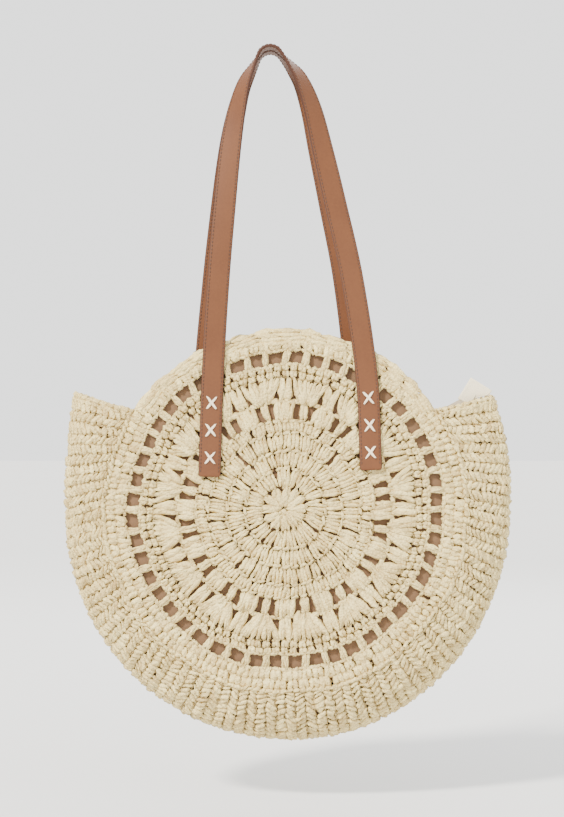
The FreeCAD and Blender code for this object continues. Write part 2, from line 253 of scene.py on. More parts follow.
def plain_weave():
    """Over-and-under weave of two sets of yarns on a flat UV in metres, with painted shade where the yarns
    dip.
    """
    tree, given, out = group(
        "plain weave",
        [("UV", "NodeSocketVector", None), ("Yarn pitch", "NodeSocketFloat", 0.0007),
         ("Color", "NodeSocketColor", (0.5, 0.4, 0.3, 1)), ("Fleck", "NodeSocketFloat", 0.25)],
        [("Color", "NodeSocketColor"), ("Height", "NodeSocketFloat")])
    links = tree.links
    parts = tree.nodes.new("ShaderNodeSeparateXYZ")
    links.new(given.outputs["UV"], parts.inputs[0])
    waves = []
    for axis in (0, 1):
        turns = maths(tree, "DIVIDE", parts.outputs[axis], given.outputs["Yarn pitch"])
        waves.append(maths(tree, "SINE", maths(tree, "MULTIPLY", turns, math.pi)))
    over = maths(tree, "MULTIPLY", waves[0], waves[1])
    height = maths(tree, "ADD", maths(tree, "MULTIPLY", over, 0.5), 0.5)
    slub = noise(tree, given.outputs["UV"], Scale=900.0, Detail=2.0)
    patch = noise(tree, given.outputs["UV"], Scale=22.0, Detail=3.0)
    # Painted shade: the dips between yarn crossings are darkened towards dark; slub flecks and patches are
    # the cloth's own random tone.
    weave_shade_and_flecks = maths(tree, "ADD", maths(tree, "MULTIPLY", height, 0.30),
                  maths(tree, "MULTIPLY", slub, given.outputs["Fleck"]))
    weave_shade_and_flecks = maths(tree, "ADD", weave_shade_and_flecks, maths(tree, "MULTIPLY", patch, 0.30))
    weave_shade_and_flecks = maths(tree, "ADD", weave_shade_and_flecks, 0.42, clamp=True)
    dark = mix_colours(tree, 1.0, given.outputs["Color"], (0.40, 0.36, 0.32), "MULTIPLY")
    links.new(mix_colours(tree, weave_shade_and_flecks, dark, given.outputs["Color"]), out.inputs["Color"])
    links.new(height, out.inputs["Height"])
    return tree


def leather_grain():
    """Fine pebbled grain with soft patches, on Object coordinates."""
    tree, given, out = group(
        "leather grain",
        [("Place", "NodeSocketVector", None), ("Color", "NodeSocketColor", (0.4, 0.2, 0.1, 1)),
         ("Edge color", "NodeSocketColor", (0.1, 0.05, 0.03, 1)), ("Edge", "NodeSocketFloat", 0.0)],
        [("Color", "NodeSocketColor"), ("Height", "NodeSocketFloat"), ("Roughness", "NodeSocketFloat")])
    links = tree.links
    pebble = node(tree, "ShaderNodeTexVoronoi", Scale=1300.0)
    pebble.feature = "DISTANCE_TO_EDGE"
    links.new(given.outputs["Place"], pebble.inputs["Vector"])
    patch = noise(tree, given.outputs["Place"], Scale=38.0, Detail=4.0)
    fine = noise(tree, given.outputs["Place"], Scale=420.0, Detail=3.0)
    tone = maths(tree, "ADD", maths(tree, "MULTIPLY", patch, 0.8),
                 maths(tree, "MULTIPLY", fine, 0.5))
    deep = mix_colours(tree, 1.0, given.outputs["Color"], (0.66, 0.60, 0.55), "MULTIPLY")
    colour = mix_colours(tree, maths(tree, "SUBTRACT", tone, 0.18, clamp=True), deep,
                         given.outputs["Color"])
    links.new(mix_colours(tree, given.outputs["Edge"], colour, given.outputs["Edge color"]),
              out.inputs["Color"])
    grain = maths(tree, "MULTIPLY", pebble.outputs["Distance"], 3.0, clamp=True)
    links.new(maths(tree, "ADD", grain, maths(tree, "MULTIPLY", fine, 0.4)),
              out.inputs["Height"])
    links.new(maths(tree, "ADD", maths(tree, "MULTIPLY", patch, 0.20), 0.46),
              out.inputs["Roughness"])
    return tree


def material(name):
    """A material with its Principled shader, and its tree."""
    made = bpy.data.materials.new(name)
    made.use_nodes = True
    return made, made.node_tree, made.node_tree.nodes["Principled BSDF"]


def place_group(tree, effect, values):
    """A group node in a material, fed with sockets or numbers by input name."""
    made = tree.nodes.new("ShaderNodeGroup")
    made.node_tree = effect
    for key, value in values.items():
        if isinstance(value, bpy.types.NodeSocket):
            tree.links.new(value, made.inputs[key])
        else:
            made.inputs[key].default_value = value
    return made


def bumped(tree, shader, height, strength, distance):
    """Feed a height to the shader's normal."""
    bump = node(tree, "ShaderNodeBump", Strength=strength, Distance=distance)
    tree.links.new(height, bump.inputs["Height"])
    tree.links.new(bump.outputs[0], shader.inputs["Normal"])


def uv_socket(tree, name):
    """A named UV map's socket."""
    made = tree.nodes.new("ShaderNodeUVMap")
    made.uv_map = name
    return made.outputs[0]


def attribute_socket(tree, name):
    """A named attribute's factor socket."""
    made = tree.nodes.new("ShaderNodeAttribute")
    made.attribute_name = name
    return made.outputs["Fac"]


def object_socket(tree):
    """Object coordinates."""
    return tree.nodes.new("ShaderNodeTexCoord").outputs["Object"]


def make_straw(fibres):
    """Crocheted paper straw."""
    made, tree, shader = material("paper straw")
    effect = place_group(tree, fibres, {
        "UV": uv_socket(tree, "strand"), "Place": object_socket(tree),
        "Tone": attribute_socket(tree, "tone"), "Light": (*colours().straw, 1),
        "Shade": (*colours().straw_shade, 1)})
    tree.links.new(effect.outputs["Color"], shader.inputs["Base Color"])
    tree.links.new(effect.outputs["Roughness"], shader.inputs["Roughness"])
    shader.inputs["Sheen Weight"].default_value = 0.03
    shader.inputs["Sheen Roughness"].default_value = 0.4
    bumped(tree, shader, effect.outputs["Height"], 1.0, 1.3 * MM)
    return made


def make_leather(grain):
    """Tan leather of the straps, with darker painted edges."""
    made, tree, shader = material("tan leather")
    effect = place_group(tree, grain, {
        "Place": object_socket(tree), "Color": (*colours().leather, 1),
        "Edge color": (*colours().leather_edge, 1), "Edge": attribute_socket(tree, "edge")})
    tree.links.new(effect.outputs["Color"], shader.inputs["Base Color"])
    tree.links.new(effect.outputs["Roughness"], shader.inputs["Roughness"])
    shader.inputs["Specular IOR Level"].default_value = 0.28
    bumped(tree, shader, effect.outputs["Height"], 0.12, 0.1 * MM)
    return made


def make_thread(name, colour, fibres):
    """Twisted waxed thread."""
    made, tree, shader = material(name)
    # Shade, 0.62 times the thread colour, is painted shade in the thread's creases and the dark end of its
    # random tone.
    effect = place_group(tree, fibres, {
        "UV": uv_socket(tree, "strand"), "Place": object_socket(tree), "Tone": 0.25,
        "Light": (*colour, 1), "Shade": tuple(0.62 * c for c in colour) + (1,)})
    tree.links.new(effect.outputs["Color"], shader.inputs["Base Color"])
    tree.links.new(effect.outputs["Roughness"], shader.inputs["Roughness"])
    bumped(tree, shader, effect.outputs["Height"], 0.5, 0.3 * MM)
    return made


def make_cloth(name, colour, weave, pitch, vector_of, bump=0.5):
    """Plain woven cloth."""
    made, tree, shader = material(name)
    effect = place_group(tree, weave, {
        "UV": vector_of(tree), "Yarn pitch": pitch, "Color": (*colour, 1), "Fleck": 0.3})
    tree.links.new(effect.outputs["Color"], shader.inputs["Base Color"])
    shader.inputs["Roughness"].default_value = 0.85
    shader.inputs["Sheen Weight"].default_value = 0.25
    bumped(tree, shader, effect.outputs["Height"], bump, 0.2 * MM)
    return made


def make_metal(name, colour, grain, metallic, roughness):
    """Brushed metal or moulded plastic with fine scratches and patches."""
    made, tree, shader = material(name)
    effect = place_group(tree, grain, {
        "Place": object_socket(tree), "Color": (*colour, 1), "Edge color": (*colour, 1), "Edge": 0.0})
    tree.links.new(effect.outputs["Color"], shader.inputs["Base Color"])
    shader.inputs["Metallic"].default_value = metallic
    shader.inputs["Roughness"].default_value = roughness
    bumped(tree, shader, effect.outputs["Height"], 0.08, 0.1 * MM)
    return made


MATERIALS = {}


def make_materials():
    """Every finish of the bag, kept by its plain name."""
    fibres = paper_fibres()
    weave = plain_weave()
    grain = leather_grain()
    colour = colours()
    MATERIALS["straw"] = make_straw(fibres)
    MATERIALS["leather"] = make_leather(grain)
    MATERIALS["thread"] = make_thread("cream thread", tuple(colour.thread), fibres)
    edge_thread = tuple(0.42 * c for c in colour.leather)
    MATERIALS["edge thread"] = make_thread("tan edge thread", edge_thread, fibres)
    MATERIALS["lining"] = make_cloth("tan lining cloth", tuple(colour.lining), weave, 0.9 * MM,
                                     lambda tree: uv_socket(tree, "flat"))
    MATERIALS["tape"] = make_cloth("zip tape cloth", (0.60, 0.50, 0.35), weave, 0.6 * MM, object_socket)
    MATERIALS["cloth"] = make_cloth("cream tab cloth", tuple(colour.cloth), weave, 0.55 * MM,
                                    lambda tree: uv_socket(tree, "flat"), 0.35)
    MATERIALS["teeth"] = make_metal("zip coil nylon", (0.62, 0.52, 0.36), grain, 0.0, 0.35)
    MATERIALS["brass"] = make_metal("antique brass", tuple(colour.brass), grain, 1.0, 0.32)


# ---------------------------------------------------------------- the shapes the cloth follows

def facing(side):
    """-1 for the front of the bag and +1 for the back."""
    return -1.0 if side == "front" else 1.0


def on_panel(u, w, h, side):
    """Places flat panel coordinates on a domed, leaning panel: u across, w up, h out of the face."""
    size = sizes()
    crown = size.crown * (1.0 - (u * u + w * w) / PANEL_R ** 2)
    sag = 0.8 * MM * np.sin(u * 31.0 + 1.3) * np.cos(w * 27.0 - 0.4)
    forward = -(crown + sag + h)
    rise = w + PANEL_R
    y = -size.half_depth + forward * math.cos(LEAN) + rise * math.sin(LEAN)
    z = DISC_Z - PANEL_R - forward * math.sin(LEAN) + rise * math.cos(LEAN)
    if side == "front":
        return np.stack([DISC_X + u, y, z], axis=-1)
    return np.stack([DISC_X - u, -y, z], axis=-1)


GUSSET_START = math.radians(58.5)
GUSSET_END = math.radians(301.5)
GUSSET_IN = PANEL_R + 2.2 * MM
STRIP_SPREAD = 1.9
FOLD_ANGLES = (58, 62, 75, 90, 112, 135, 160, 180, 205, 225, 250, 270, 285, 299, 302)
FOLD_RADII = (216, 216, 210, 205, 206, 209, 212, 211, 209, 206, 203, 201, 206, 220, 221)


def on_gusset(s, t, h):
    """Places flat gusset coordinates on the folded strip: s the angle clockwise from the top,
    t from the front edge at -1 over the fold at 0 to the back edge at +1, h out of the face."""
    size = sizes()
    share = (s - GUSSET_START) / (GUSSET_END - GUSSET_START)
    drawn_in = np.abs(np.cos(np.clip(t, -1, 1) * math.pi / 2.0))
    first = GUSSET_START + math.radians(5.1) * drawn_in - math.radians(1.2)
    s = first + (math.tau - 2.0 * first) * share
    fold_r = np.interp(np.degrees(s), FOLD_ANGLES, FOLD_RADII) * MM
    reach = fold_r - GUSSET_IN - 2.0 * MM
    rim_rise = PANEL_R * (np.cos(s) + 1.0)
    depth = size.half_depth - rim_rise * math.sin(LEAN)
    turn = np.clip(t, -1.0, 1.0) * math.pi / 2.0
    across = np.abs(np.cos(turn)) ** 1.35
    through = np.sign(turn) * np.abs(np.sin(turn)) ** 1.35
    ripple = 1.1 * MM * np.sin(s * 43.0) * np.sin(turn * 2.0) ** 2
    radius = GUSSET_IN + reach * across
    normal_r = np.abs(np.cos(turn)) * depth + 0.35 * np.abs(np.sin(turn)) * reach
    normal_y = np.sin(turn) * reach
    length = np.hypot(normal_r, normal_y)
    radius = radius + (h + ripple) * normal_r / length
    y = depth * through + (h + ripple) * normal_y / length
    return np.stack([DISC_X + radius * np.sin(s), y, DISC_Z + radius * np.cos(s)], axis=-1)


# ---------------------------------------------------------------- strands and the stitch layer

def strand_mesh():
    """One puffed strand of folded straw, 1 long, 1 wide and 1 high, with a UV along and round it."""
    around = 8
    stations = (-0.5, -0.43, -0.27, -0.09, 0.09, 0.27, 0.43, 0.5)
    points = []
    for k, place in enumerate(stations):
        puff = (1.0 - abs(2.0 * place) ** 2.8) ** 0.55 if abs(place) < 0.5 else 0.16
        for j in range(around):
            angle = math.tau * j / around
            fold = 1.0 + 0.27 * math.cos(3.0 * angle + 1.7 * k) + 0.07 * math.cos(5.0 * angle - 2.3 * k)
            points.append((place, 0.5 * puff * fold * math.cos(angle), 0.5 * puff * fold * math.sin(angle)))
    faces = []
    for k in range(len(stations) - 1):
        for j in range(around):
            after = (j + 1) % around
            faces.append((k * around + j, k * around + after, (k + 1) * around + after,
                          (k + 1) * around + j))
    faces.append(tuple(reversed(range(around))))
    faces.append(tuple(range(len(points) - around, len(points))))
    mesh = bpy.data.meshes.new("strand")
    mesh.from_pydata(points, [], faces)
    layer = mesh.uv_layers.new(name="strand")
    for face in mesh.polygons:
        for corner in face.loop_indices:
            vertex = mesh.loops[corner].vertex_index
            turn = vertex % around
            if len(face.vertices) == 4 and turn == 0 and any(
                    v % around == around - 1 for v in face.vertices):
                turn = around
            layer.data[corner].uv = (turn / around, stations[vertex // around] + 0.5)
    mesh.shade_smooth()
    return bpy.data.objects.new("strand", mesh)


def stitch_tree():
    """Geometry nodes: one strand at every point, turned and sized by the point, crinkled, made real."""
    tree = bpy.data.node_groups.new("stitch layer", "GeometryNodeTree")
    for label, kind, default in (
            ("Geometry", "NodeSocketGeometry", None), ("Strand", "NodeSocketObject", None),
            ("Finish", "NodeSocketMaterial", None), ("Crinkle", "NodeSocketFloat", 0.0006),
            ("Crinkle scale", "NodeSocketFloat", 300.0), ("Turn spread", "NodeSocketFloat", 0.1),
            ("Size spread", "NodeSocketFloat", 0.12), ("Seed", "NodeSocketInt", 1)):
        socket = tree.interface.new_socket(label, in_out="INPUT", socket_type=kind)
        if default is not None:
            socket.default_value = default
    tree.interface.new_socket("Geometry", in_out="OUTPUT", socket_type="NodeSocketGeometry")
    links = tree.links
    given = tree.nodes.new("NodeGroupInput")
    out = tree.nodes.new("NodeGroupOutput")

    def named(name):
        made = node(tree, "GeometryNodeInputNamedAttribute", data_type="FLOAT_VECTOR")
        made.inputs["Name"].default_value = name
        return made.outputs["Attribute"]

    def vector(operation, first, second):
        made = tree.nodes.new("ShaderNodeVectorMath")
        made.operation = operation
        for socket, value in zip(made.inputs, (first, second)):
            if isinstance(value, bpy.types.NodeSocket):
                links.new(value, socket)
            else:
                socket.default_value = value
        return made.outputs[0]

    def spread(limit, offset):
        made = tree.nodes.new("FunctionNodeRandomValue")
        made.data_type = "FLOAT_VECTOR"
        low = vector("MULTIPLY", limit, (-1.0, -1.0, -1.0))
        high = vector("MULTIPLY", limit, (1.0, 1.0, 1.0))
        links.new(low, made.inputs[0])
        links.new(high, made.inputs[1])
        links.new(maths(tree, "ADD", given.outputs["Seed"], offset), made.inputs["Seed"])
        return made.outputs[0]

    strand = tree.nodes.new("GeometryNodeObjectInfo")
    links.new(given.outputs["Strand"], strand.inputs["Object"])
    turn = vector("ADD", named("turn"), spread(given.outputs["Turn spread"], 0))
    rotation = tree.nodes.new("FunctionNodeEulerToRotation")
    links.new(turn, rotation.inputs[0])
    grow = vector("ADD", spread(given.outputs["Size spread"], 7), (1.0, 1.0, 1.0))
    size = vector("MULTIPLY", named("size"), grow)
    copies = tree.nodes.new("GeometryNodeInstanceOnPoints")
    links.new(given.outputs["Geometry"], copies.inputs["Points"])
    links.new(strand.outputs["Geometry"], copies.inputs["Instance"])
    links.new(rotation.outputs[0], copies.inputs["Rotation"])
    links.new(size, copies.inputs["Scale"])
    real = tree.nodes.new("GeometryNodeRealizeInstances")
    links.new(copies.outputs[0], real.inputs[0])
    creases = node(tree, "ShaderNodeTexNoise", Detail=1.5)
    links.new(given.outputs["Crinkle scale"], creases.inputs["Scale"])
    centred = vector("SUBTRACT", creases.outputs["Color"], (0.5, 0.5, 0.5))
    push = vector("MULTIPLY", centred, given.outputs["Crinkle"])
    move = tree.nodes.new("GeometryNodeSetPosition")
    links.new(real.outputs[0], move.inputs["Geometry"])
    links.new(vector("MULTIPLY", push, (4.0, 4.0, 4.0)), move.inputs["Offset"])
    finish = tree.nodes.new("GeometryNodeSetMaterial")
    links.new(move.outputs[0], finish.inputs["Geometry"])
    links.new(given.outputs["Finish"], finish.inputs["Material"])
    links.new(finish.outputs[0], out.inputs[0])
    return tree


TOOLS = {}


def socket_id(tree, label):
    """Identifier of a named input of a geometry tree."""
    return next(item.identifier for item in tree.interface.items_tree
                if item.name == label and item.in_out == "INPUT")


class Stitches:
    """A flat layout of strands: where each lies, how it is turned and how big it is."""

    def __init__(self, seed):
        self.places = []
        self.turns = []
        self.sizes = []
        self.tones = []
        self.random = np.random.default_rng(seed)
        self.seed = seed

    def add(self, start, end, width, height, lift=0.0, roll=0.0, tilt=0.0, tone=None):
        """A strand from start to end in flat coordinates."""
        run = (end[0] - start[0], end[1] - start[1])
        self.places.append(((start[0] + end[0]) / 2.0, (start[1] + end[1]) / 2.0, lift))
        self.turns.append((roll, tilt, math.atan2(run[1], run[0])))
        self.sizes.append((math.hypot(*run), width, height))
        # A given tone darkens a strand; the negative tones given to recessed strands are painted shade, and
        # the random ones are paper tone.
        self.tones.append(self.random.normal(0.0, 0.10) if tone is None else tone)

    def polar(self, start, end, *args, **kwargs):
        """A strand between two (radius, degrees clockwise from the top) places of a panel."""
        flat = [(r * math.sin(math.radians(a)), r * math.cos(math.radians(a))) for r, a in (start, end)]
        self.add(flat[0], flat[1], *args, **kwargs)

    def build(self, name, finish, warp, crinkle=None, scale=360.0, turn=0.13, size=0.17):
        """Grow the strands with the geometry tree, then place them on the bag with warp."""
        mesh = bpy.data.meshes.new(name)
        mesh.from_pydata(self.places, [], [])
        for label, values in (("turn", self.turns), ("size", self.sizes)):
            data = mesh.attributes.new(label, "FLOAT_VECTOR", "POINT").data
            data.foreach_set("vector", np.array(values, np.float32).ravel())
        mesh.attributes.new("tone", "FLOAT", "POINT").data.foreach_set(
            "value", np.array(self.tones, np.float32))
        base = bpy.data.objects.new(name + "_layout", mesh)
        bpy.context.scene.collection.objects.link(base)
        tree = TOOLS["tree"]
        grown = base.modifiers.new("stitches", "NODES")
        grown.node_group = tree
        for label, value in (("Strand", TOOLS["strand"]), ("Finish", MATERIALS[finish]),
                             ("Crinkle", sizes().crinkle if crinkle is None else crinkle),
                             ("Crinkle scale", scale), ("Turn spread", turn),
                             ("Size spread", size), ("Seed", self.seed)):
            grown[socket_id(tree, label)] = value
        bpy.context.view_layer.update()
        graph = bpy.context.evaluated_depsgraph_get()
        made = bpy.data.meshes.new_from_object(base.evaluated_get(graph), depsgraph=graph)
        base.modifiers.remove(grown)
        bpy.data.objects.remove(base)
        made.name = name
        points = np.empty(len(made.vertices) * 3, np.float32)
        made.vertices.foreach_get("co", points)
        points = warp(points.reshape(-1, 3).astype(float))
        made.vertices.foreach_set("co", points.astype(np.float32).ravel())
        for label in ("turn", "size"):
            spare = made.attributes.get(label)
            if spare is not None:
                made.attributes.remove(spare)
        made.update()
        if len(made.materials) == 0:
            made.materials.append(MATERIALS[finish])
        piece = bpy.data.objects.new(name, made)
        bpy.context.scene.collection.objects.link(piece)
        return piece


def wobble(points, amount, seed):
    """Uneven hand work: a slow drift of the flat layout."""
    shift = seed * 1.7
    u = points[:, 0]
    w = points[:, 1]
    points[:, 0] = u + amount * (np.sin(w * 61.0 + shift) + 0.6 * np.sin(w * 143.0 + u * 90.0 + shift))
    points[:, 1] = w + amount * (np.sin(u * 57.0 - shift) + 0.6 * np.sin(u * 151.0 - w * 80.0 + shift))
    return points


def pressed_under_straps(points, side):
    """Presses the straw flat where a strap's foot and its stitching lie on it."""
    size = sizes()
    places = strap_run(side)[1]
    half = len(places) // 2
    for leg in (places[:half], places[half:]):
        leg = leg[leg[:, 2] < STRAP_PRESS_TOP]
        leg = leg[np.argsort(leg[:, 2])]
        middle = np.interp(points[:, 2], leg[:, 2], leg[:, 0])
        depth = np.abs(np.interp(points[:, 2], leg[:, 2], leg[:, 1])) - size.strap_thickness / 2.0 - STRAP_GAP
        depth -= FOLD_RELIEF * np.exp(-((points[:, 2] - HINGE_Z) / FOLD_REACH) ** 2)
        under = ((np.abs(points[:, 0] - middle) < size.strap_width / 2.0 + 1.0 * MM)
                 & (points[:, 2] > leg[0, 2] - 1.0 * MM) & (points[:, 2] < leg[-1, 2]))
        pressed = np.minimum(np.abs(points[:, 1]), depth)
        points[:, 1] = np.where(under, facing(side) * pressed, points[:, 1])
    return points


def panel_warp(side, seed):
    """Warp of a panel's layout onto the front or the back."""
    def warp(points):
        points = wobble(points, 1.0 * MM, seed)
        placed = on_panel(points[:, 0], points[:, 1], points[:, 2], side)
        return pressed_under_straps(placed, side)
    return warp


def gusset_warp(seed):
    """Warp of the strip's layout: metres along its inner edge, and metres across from the middle."""
    def warp(points):
        half = sizes().half_depth
        s = points[:, 0] / GUSSET_IN
        t = points[:, 1] / (STRIP_SPREAD * half)
        shift = 0.9 * MM * np.sin(points[:, 0] * 47.0 + seed) * np.cos(t * 3.0)
        return on_gusset(s + shift / GUSSET_IN, t, points[:, 2])
    return warp


# ---------------------------------------------------------------- the rounds of a panel

def centre_rounds(work):
    """Petals round the middle and four solid rounds of double stitches."""
    straw = sizes().straw
    work.polar((0.5 * MM, 0), (5.0 * MM, 180), straw, straw, 1.2 * MM)
    for k in range(12):
        angle = 30.0 * k + work.random.normal(0, 1.2)
        for lobe in (-6.5, 6.5):
            work.polar((2.5 * MM, angle + lobe), (20.5 * MM, angle + lobe * 0.95),
                       straw * 1.10, straw * 1.05, 0.6 * MM)
        work.polar((6.0 * MM, angle), (20.0 * MM, angle), straw * 0.8, straw * 0.8, 1.6 * MM)
    for low, high, count in ((20.0, 37.0, 28), (37.0, 53.0, 42), (53.0, 69.5, 56), (69.5, 80.5, 66)):
        step = 360.0 / count
        middle = (low + high) / 2.0
        wide = math.radians(step) * middle * MM
        for k in range(count):
            angle = step * k + work.random.normal(0, 0.09 * step)
            lean = 0.10 * step
            for lobe in (-0.24, 0.24):
                work.polar((low * MM - 0.6 * MM, angle + lobe * step * 0.9),
                           (high * MM + 0.4 * MM, angle + lobe * step + lean),
                           wide * 0.56, straw * 0.98, 0.4 * MM + 0.3 * MM * lobe)
            work.polar((high * MM - 1.6 * MM, angle - 0.46 * step),
                       (high * MM + 0.2 * MM, angle + 0.46 * step), straw * 0.62, straw * 0.62, 1.5 * MM)
            # Low strand under the round's edge, darkened as painted shade in the recess.
            work.polar((high * MM, angle - 0.5 * step), (high * MM, angle + 0.5 * step),
                       straw * 0.6, straw * 0.6, -1.8 * MM, tone=-0.35)


def lace_rounds(work):
    """Posts, clusters, fans and double petals with the holes between them."""
    straw = sizes().straw
    repeats = sizes().repeats
    step = 360.0 / repeats
    for k in range(repeats):
        post = step * k + 0.5 * step
        for lean in (-1.3, 0.0, 1.3):
            work.polar((80.0 * MM, post + lean), (97.5 * MM, post + 0.7 * lean), straw * 0.8, straw * 0.85)
        middle = post + 0.5 * step
        for lobe, width in ((-5.0, 1.1), (-2.5, 1.2), (0.0, 1.25), (2.5, 1.2), (5.0, 1.1)):
            work.polar((79.0 * MM, middle + lobe * 0.92), (98.0 * MM, middle + lobe * 0.80),
                       straw * width, straw * 1.12, 0.6 * MM)
        for part in range(6):
            start = post - 0.5 * step + part * step / 6.0
            work.polar((97.5 * MM, start), (97.5 * MM, start + step / 5.0),
                       straw * 0.95, straw * 0.8, -0.4 * MM)
        for petal in range(7):
            spread = -7.8 + 15.6 * petal / 6.0
            work.polar((95.5 * MM, post + spread * 0.34), (119.6 * MM, post + spread),
                       straw * 1.22, straw * 1.15, 0.7 * MM)
            work.polar((104.0 * MM, post + spread * 0.6 + 0.5), (118.0 * MM, post + spread + 0.7),
                       straw * 0.55, straw * 0.6, 1.9 * MM)
        for side in (-1, 1):
            for petal in (0.0, 1.0):
                work.polar((97.0 * MM, middle + side * (0.9 + petal)),
                           (119.5 * MM, middle + side * (1.0 + petal)), straw * 1.12, straw * 1.05, 0.3 * MM)


def slanted_round(work, low, high, count, lean, wide=1.0):
    """A round of small slanted stitches, two legs each, forming a row of shallow vees."""
    straw = sizes().straw
    step = 360.0 / count
    middle = (low + high) / 2.0
    across = math.radians(step) * middle * MM
    for k in range(count):
        angle = step * k + work.random.normal(0, 0.05 * step)
        for leg in (-1, 1):
            work.polar((low * MM, angle + leg * 0.10 * step), (high * MM, angle + leg * (0.26 + lean) * step),
                       across * 0.52 * wide, straw * 0.92, 0.5 * MM)
        # Low strand under the round's edge, darkened as painted shade in the recess.
        work.polar((low * MM, angle - 0.45 * step), (low * MM, angle + 0.45 * step),
                   straw * 0.6, straw * 0.6, -1.2 * MM, tone=-0.25)


def window_round(work):
    """Posts between square windows, closed by a chain below and a chain above."""
    straw = sizes().straw
    count = sizes().windows
    step = 360.0 / count
    slanted_round(work, 118.8, 124.8, 100, 0.0)
    slanted_round(work, 124.8, 130.6, 104, 0.0)
    for k in range(count * 3):
        start = k * step / 3.0
        for radius, lift in ((130.6, 0.4), (144.2, 0.3)):
            work.polar((radius * MM, start), (radius * MM, start + step / 2.7), straw * 0.78, straw * 0.78,
                       lift * MM)
    for k in range(count):
        angle = step * k + work.random.normal(0, 0.14)
        slant = 0.25
        for lobe in (-0.72, 0.0, 0.72):
            work.polar((130.0 * MM, angle + lobe - slant), (144.8 * MM, angle + lobe + slant),
                       straw * 0.66, straw * 0.9, 0.2 * MM)
        work.polar((131.0 * MM, angle + 0.6 - slant), (143.6 * MM, angle - 0.6 + slant),
                   straw * 0.5, straw * 0.55, 1.5 * MM)


def border_rounds(work):
    """Two rounds of chunky stitches; the outer one leaves out the mouth."""
    straw = sizes().straw
    count = 96
    step = 360.0 / count
    across = math.radians(step) * 150.0 * MM
    for k in range(count):
        for low, high, shift in ((144.6, 153.4, 0.0), (153.4, 162.4, 0.5)):
            angle = step * (k + shift)
            from_top = min(angle % 360.0, 360.0 - angle % 360.0)
            if high > 160.0 and from_top < 53.5:
                continue
            angle += work.random.normal(0, 0.06 * step)
            for leg in (-1, 1):
                work.polar((low * MM - 0.7 * MM, angle + leg * 0.14 * step),
                           (high * MM + 0.7 * MM, angle + leg * 0.29 * step),
                           across * 0.60, straw * 1.02, 0.5 * MM)
            # Low strand at the round's edge, darkened as painted shade in the recess.
            work.polar((high * MM, angle - 0.5 * step), (high * MM, angle + 0.5 * step),
                       straw * 0.9, straw * 0.8, -0.9 * MM, tone=-0.2)
            # Underlay strand deep under the stitches, darkened as painted shade in the gaps.
            middle = (low + high) / 2.0 * MM
            work.polar((middle, angle - 0.5 * step), (middle, angle + 0.5 * step),
                       straw * 1.2, straw * 0.6, -2.0 * MM, tone=-0.3)


def edging_band(work):
    """Smooth folded band round the mouth: long flat strands side by side."""
    straw = sizes().straw
    count = 15
    reach = 56.5
    step = 2.0 * reach / count
    for k in range(count):
        for radius, lift in ((151.5, 0.4), (155.0, 0.9), (158.6, 1.1), (162.0, 0.8)):
            start = -reach + step * (k + 0.25 * (radius % 2.0))
            start = min(start, reach - step)
            work.polar((radius * MM, start), (radius * MM, start + step * 1.12), straw * 1.2, straw * 0.95,
                       lift * MM)


def seam_stitches(work):
    """Slip stitches that join a panel to the gusset."""
    straw = sizes().straw
    count = 118
    low, high = math.degrees(GUSSET_START), math.degrees(GUSSET_END)
    step = (high - low) / count
    for k in range(count):
        start = low + step * k
        work.polar((162.6 * MM, start), (164.9 * MM, start + step * 1.25),
                   straw * 0.82, straw * 0.85, 1.6 * MM)


PANEL_WORK = (("centre_rounds", centre_rounds), ("lace_rounds", lace_rounds),
              ("window_round", window_round), ("border_rounds", border_rounds))


# ---------------------------------------------------------------- flat and moulded pieces

def mesh_piece(name, points, faces, finish, uv=None, edge=None):
    """A finished mesh: doubles merged, normals outward, one material and optional UV and edge mask."""
    mesh = bpy.data.meshes.new(name)
    mesh.from_pydata([tuple(float(c) for c in p) for p in points], [], [tuple(f) for f in faces])
    if uv is not None:
        layer = mesh.uv_layers.new(name=uv[0])
        corners = np.empty(len(mesh.loops), np.int64)
        mesh.loops.foreach_get("vertex_index", corners)
        layer.data.foreach_set("uv", np.asarray(uv[1], np.float32)[corners].ravel())
    if edge is not None:
        mesh.attributes.new("edge", "FLOAT", "POINT").data.foreach_set(
            "value", np.asarray(edge, np.float32))
    work = bmesh.new()
    work.from_mesh(mesh)
    bmesh.ops.remove_doubles(work, verts=work.verts, dist=1e-6)
    bmesh.ops.recalc_face_normals(work, faces=work.faces)
    work.to_mesh(mesh)
    work.free()
    mesh.shade_smooth()
    mesh.materials.append(MATERIALS[finish])
    piece = bpy.data.objects.new(name, mesh)
    bpy.context.scene.collection.objects.link(piece)
    return piece


def grid_faces(rows, columns, wrap=False):
    """Quads of a grid, its columns closed into a loop if wrap is true."""
    faces = []
    for i in range(rows - 1):
        for j in range(columns if wrap else columns - 1):
            k = (j + 1) % columns
            faces.append((i * columns + j, i * columns + k, (i + 1) * columns + k, (i + 1) * columns + j))
    return faces


def disc_sheet(name, side, radius, depth):
    """One flat disc of lining cloth behind a panel's stitches."""
    rings, spokes = 40, 120
    points, flat = [], []
    for i in range(rings):
        r = radius * (i + 0.02) / (rings - 0.98)
        for j in range(spokes):
            angle = math.tau * j / spokes
            flat.append((r * math.sin(angle), r * math.cos(angle)))
    flat = np.array(flat)
    points = on_panel(flat[:, 0], flat[:, 1], np.full(len(flat), -depth), side)
    faces = [tuple(reversed(f)) for f in grid_faces(rings, spokes, True)]
    faces.append(tuple(range(spokes)))
    return mesh_piece(name, points, faces, "lining", ("flat", flat))


# ---------------------------------------------------------------- straps

def unit(vectors):
    """Each vector at length 1."""
    return vectors / np.linalg.norm(vectors, axis=-1, keepdims=True)


